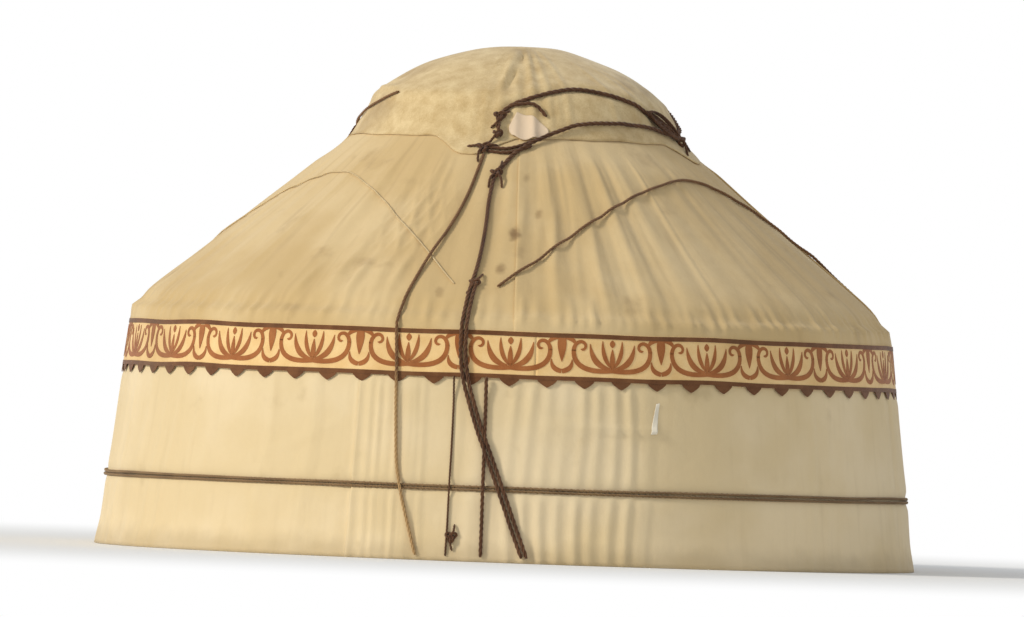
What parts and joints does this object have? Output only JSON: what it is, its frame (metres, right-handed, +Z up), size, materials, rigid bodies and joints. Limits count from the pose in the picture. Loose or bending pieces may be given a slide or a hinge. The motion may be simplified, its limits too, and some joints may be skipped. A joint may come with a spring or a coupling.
{
  "type": "felt yurt",
  "caption": "Round felt and canvas yurt with a lattice wall, bent roof poles, a wooden crown ring, an ornamented eave band and rope lashings.",
  "frame": {"origin": "centre of the floor circle, at ground level", "axes": "+Z up, doorway towards +Y, the side with the main ropes and knots towards -Y"},
  "size_m": [6, 6.0121, 3.78],
  "materials": {
    "wall_canvas": "matte",
    "roof_canvas": "matte",
    "crown_felt": "matte",
    "band_felt": "matte",
    "door_felt": "matte",
    "dark_rope": "matte",
    "pale_rope": "matte",
    "lattice_wood": "satin",
    "pole_wood": "satin",
    "door_wood": "satin"
  },
  "bodies": {
    "root": {"wall_cover_back_left": "wall_canvas", "wall_cover_left": "wall_canvas", "wall_cover_front": "wall_canvas", "wall_cover_right": "wall_canvas", "roof_cover_back_left": "roof_canvas", "roof_cover_front_left": "roof_canvas", "roof_cover_front_right": "roof_canvas", "roof_cover_back_right": "roof_canvas", "crown_cover": "crown_felt", "eave_band_back_left": "band_felt", "eave_band_front_left": "band_felt", "eave_band_front_right": "band_felt", "eave_band_back_right": "band_felt", "door_flap": "door_felt", "belt_rope": "dark_rope", "rope_left_main": "dark_rope", "rope_centre_main": "dark_rope", "rope_short_wall": "dark_rope", "rope_left_wall": "dark_rope", "rope_right_roof": "dark_rope", "rope_left_roof": "pale_rope", "lattice_1": "lattice_wood", "lattice_2": "lattice_wood", "lattice_3": "lattice_wood", "lattice_4": "lattice_wood", "lattice_5": "lattice_wood", "roof_poles_back_left": "pole_wood", "roof_poles_front_left": "pole_wood", "roof_poles_front_right": "pole_wood", "roof_poles_back_right": "pole_wood", "crown_ring": "pole_wood", "crown_slats_upper": "pole_wood", "crown_slats_lower": "pole_wood", "door_threshold": "door_wood", "door_jamb_left": "door_wood", "door_jamb_right": "door_wood", "door_lintel": "door_wood", "door_ties": "dark_rope", "crown_rope_upper": "dark_rope", "crown_rope_lower": "dark_rope"}
  },
  "joints": []
}
